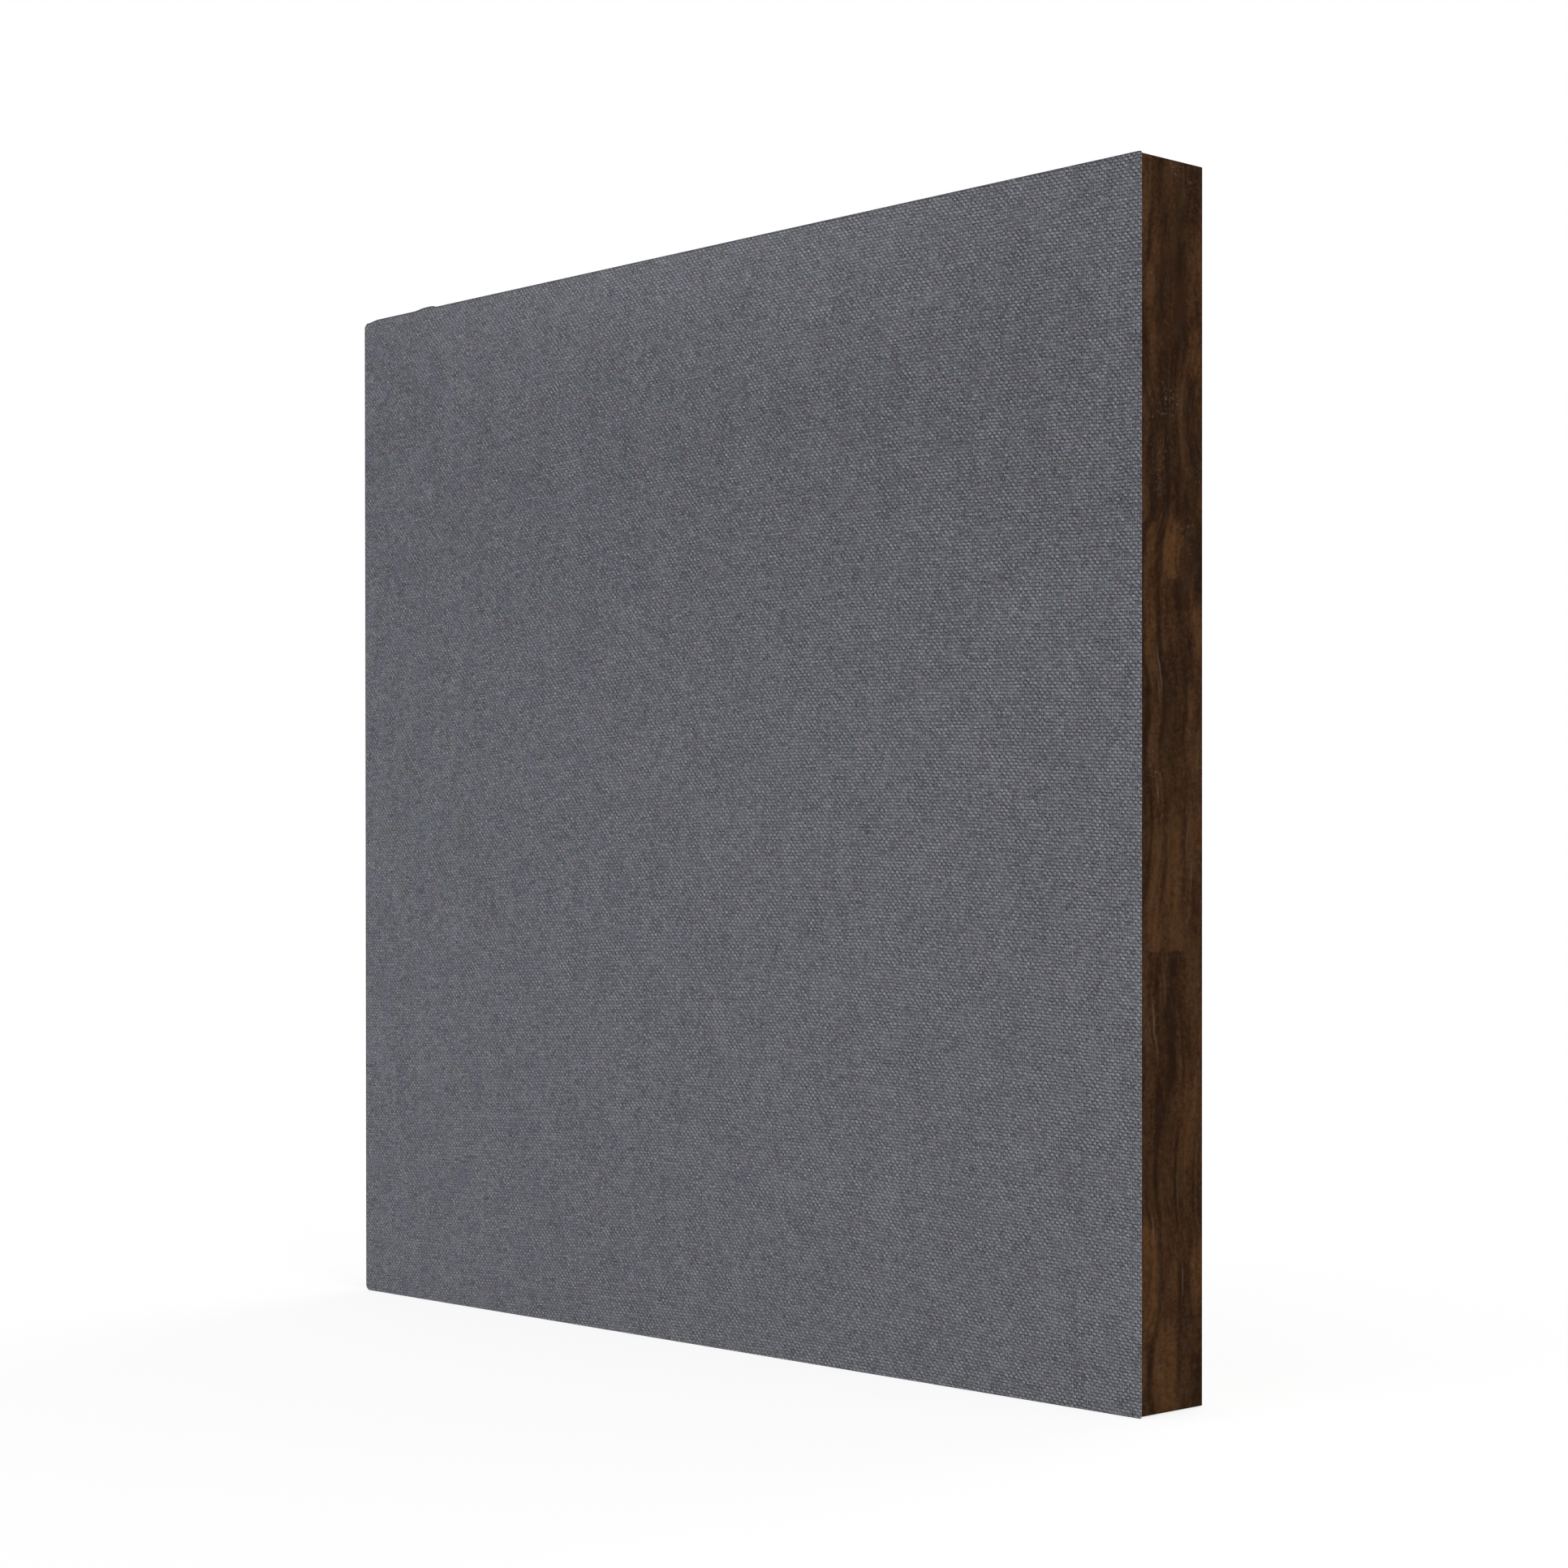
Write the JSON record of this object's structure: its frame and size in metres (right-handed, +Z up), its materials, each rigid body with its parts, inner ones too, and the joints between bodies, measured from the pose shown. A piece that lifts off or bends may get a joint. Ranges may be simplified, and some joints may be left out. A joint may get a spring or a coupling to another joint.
{
  "type": "acoustic ceiling tile",
  "caption": "Square sound-absorbing tile: grey woven cloth over a fibre core in a dark wood frame, with keyhole hangers on its back.",
  "frame": {"origin": "on the surface that the tile stands on, under the middle of its width and depth", "axes": "+Z up, the cloth faces -Y, the back with its hangers faces +Y, +X is to the right of someone who looks at the cloth"},
  "size_m": [0.6014, 0.049, 0.6007],
  "materials": {
    "cloth": "grey melange plain weave, matte",
    "walnut": "dark walnut stain, low sheen",
    "beech": "bare",
    "birch_ply": "bare plywood",
    "fibre": "pressed fibre slab",
    "dust_cloth": "black non-woven",
    "zinc": "zinc plated",
    "black_screw": "black phosphate"
  },
  "bodies": {
    "root": {"face_cloth": "cloth", "rail_top": "walnut", "rail_bottom": "walnut", "rail_left": "walnut", "rail_right": "walnut", "mitre_key_top_left": "beech", "mitre_key_top_right": "beech", "mitre_key_bottom_left": "beech", "mitre_key_bottom_right": "beech", "fibre_core": "fibre", "rear_scrim": "dust_cloth", "gusset_top_left": "birch_ply", "gusset_top_right": "birch_ply", "gusset_bottom_left": "birch_ply", "gusset_bottom_right": "birch_ply", "cross_batten": "birch_ply", "keyhole_plate_top_left": "zinc", "keyhole_plate_top_right": "zinc", "keyhole_plate_bottom_left": "zinc", "keyhole_plate_bottom_right": "zinc", "gusset_screw_top_left_side_near": "black_screw", "gusset_screw_top_left_side_far": "black_screw", "gusset_screw_top_left_end_near": "black_screw", "gusset_screw_top_left_end_far": "black_screw", "gusset_screw_top_right_side_near": "black_screw", "gusset_screw_top_right_side_far": "black_screw", "gusset_screw_top_right_end_near": "black_screw", "gusset_screw_top_right_end_far": "black_screw", "gusset_screw_bottom_left_side_near": "black_screw", "gusset_screw_bottom_left_side_far": "black_screw", "gusset_screw_bottom_left_end_near": "black_screw", "gusset_screw_bottom_left_end_far": "black_screw", "gusset_screw_bottom_right_side_near": "black_screw", "gusset_screw_bottom_right_side_far": "black_screw", "gusset_screw_bottom_right_end_near": "black_screw", "gusset_screw_bottom_right_end_far": "black_screw", "batten_screw_left_lower": "black_screw", "batten_screw_left_upper": "black_screw", "batten_screw_right_lower": "black_screw", "batten_screw_right_upper": "black_screw", "plate_screw_top_left_lower": "zinc", "plate_screw_top_left_upper": "zinc", "plate_screw_top_right_lower": "zinc", "plate_screw_top_right_upper": "zinc", "plate_screw_bottom_left_lower": "zinc", "plate_screw_bottom_left_upper": "zinc", "plate_screw_bottom_right_lower": "zinc", "plate_screw_bottom_right_upper": "zinc"}
  },
  "joints": []
}
